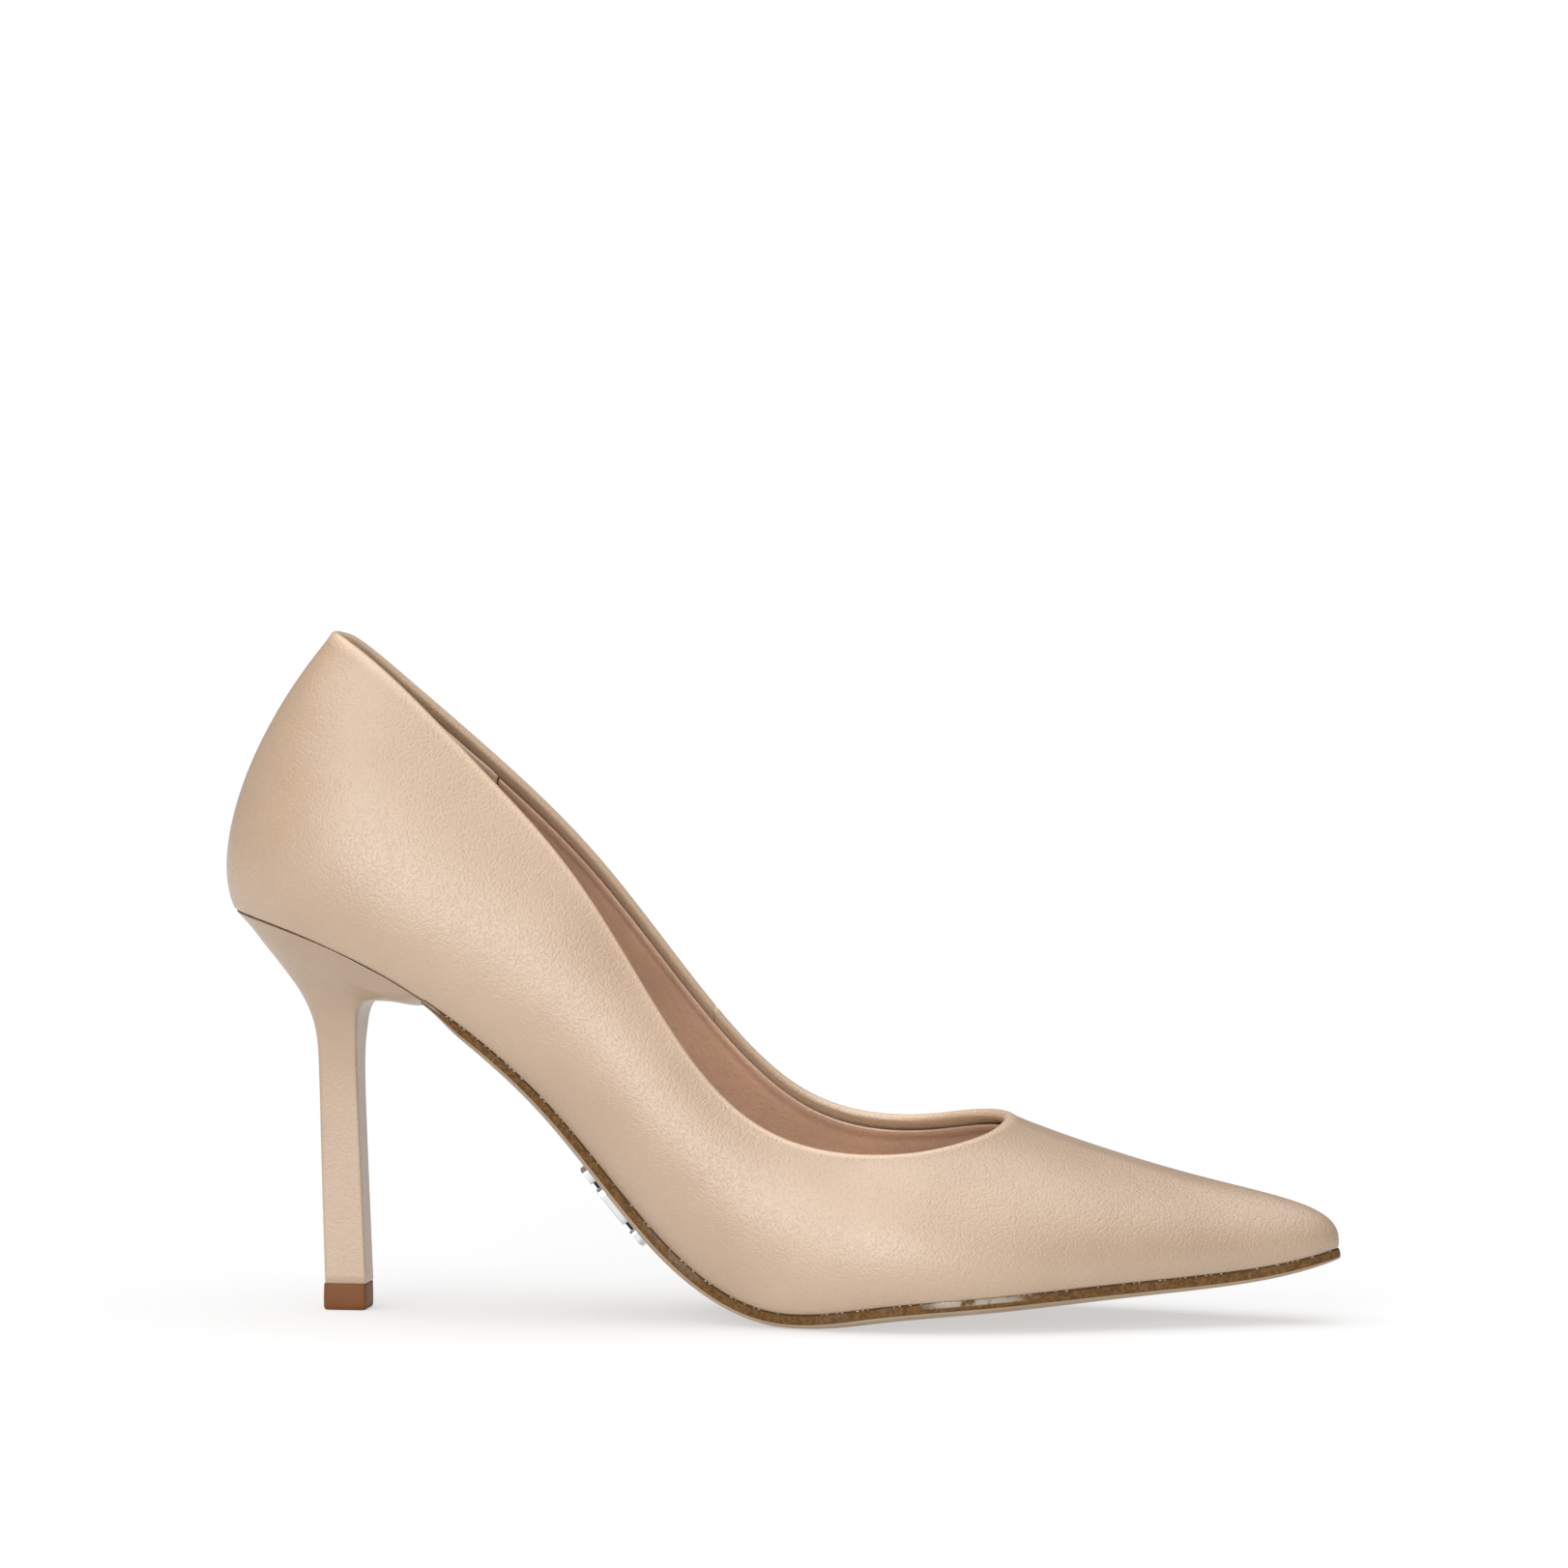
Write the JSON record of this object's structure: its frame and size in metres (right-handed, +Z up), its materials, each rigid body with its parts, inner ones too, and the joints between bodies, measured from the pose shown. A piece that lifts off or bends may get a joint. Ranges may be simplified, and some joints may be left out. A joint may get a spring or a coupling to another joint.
{
  "type": "high heel pump",
  "caption": "Right-foot court shoe with a pointed toe, low vamp, one-piece leather upper and a slim covered stiletto heel on a plastic top piece.",
  "frame": {"origin": "on the floor under the middle of the shoe's bounding box; the heel's top piece and the tread both stand on Z = 0", "axes": "+X from the heel to the toe, -Y the outer side of the foot, +Z up"},
  "size_m": [0.2508, 0.0758, 0.1521],
  "materials": {
    "nappa_leather": "smooth fine-grained beige nappa, satin",
    "lining_leather": "rosy tan smooth lining leather, low sheen",
    "grip_leather": "beige brushed grip leather, matte",
    "stiffener_felt": "resin-filled white felt",
    "insole_board": "grey cellulose board",
    "steel": "plain steel",
    "cork": "pressed cork",
    "foam": "latex foam",
    "sole_brown": "brown grainy sole edge, matte with glossy spots",
    "sole_pale": "pale beige sole layer, satin",
    "heel_plastic": "moulded white plastic",
    "top_piece_plastic": "brown polyurethane, slightly see-through at the edges",
    "chrome": "polished chrome"
  },
  "bodies": {
    "root": {"upper": "nappa_leather", "vamp_lining": "lining_leather", "heel_grip_lining": "grip_leather", "toe_puff": "stiffener_felt", "heel_counter": "stiffener_felt", "topline_tape": "stiffener_felt", "insole_board": "insole_board", "steel_shank": "steel", "shank_rivet_1": "steel", "shank_rivet_2": "steel", "forepart_filler": "cork", "sock_foam_pad": "foam", "sock_lining": "grip_leather", "outsole": "sole_brown", "outsole_veneer": "sole_pale", "heel_core": "heel_plastic", "heel_cover": "nappa_leather", "heel_dowel": "steel", "top_piece": "top_piece_plastic", "top_piece_pin": "steel", "heel_screw": "steel", "heel_nail_1": "steel", "heel_nail_2": "steel", "heel_nail_3": "steel", "heel_nail_4": "steel", "sole_badge": "chrome"}
  },
  "joints": []
}
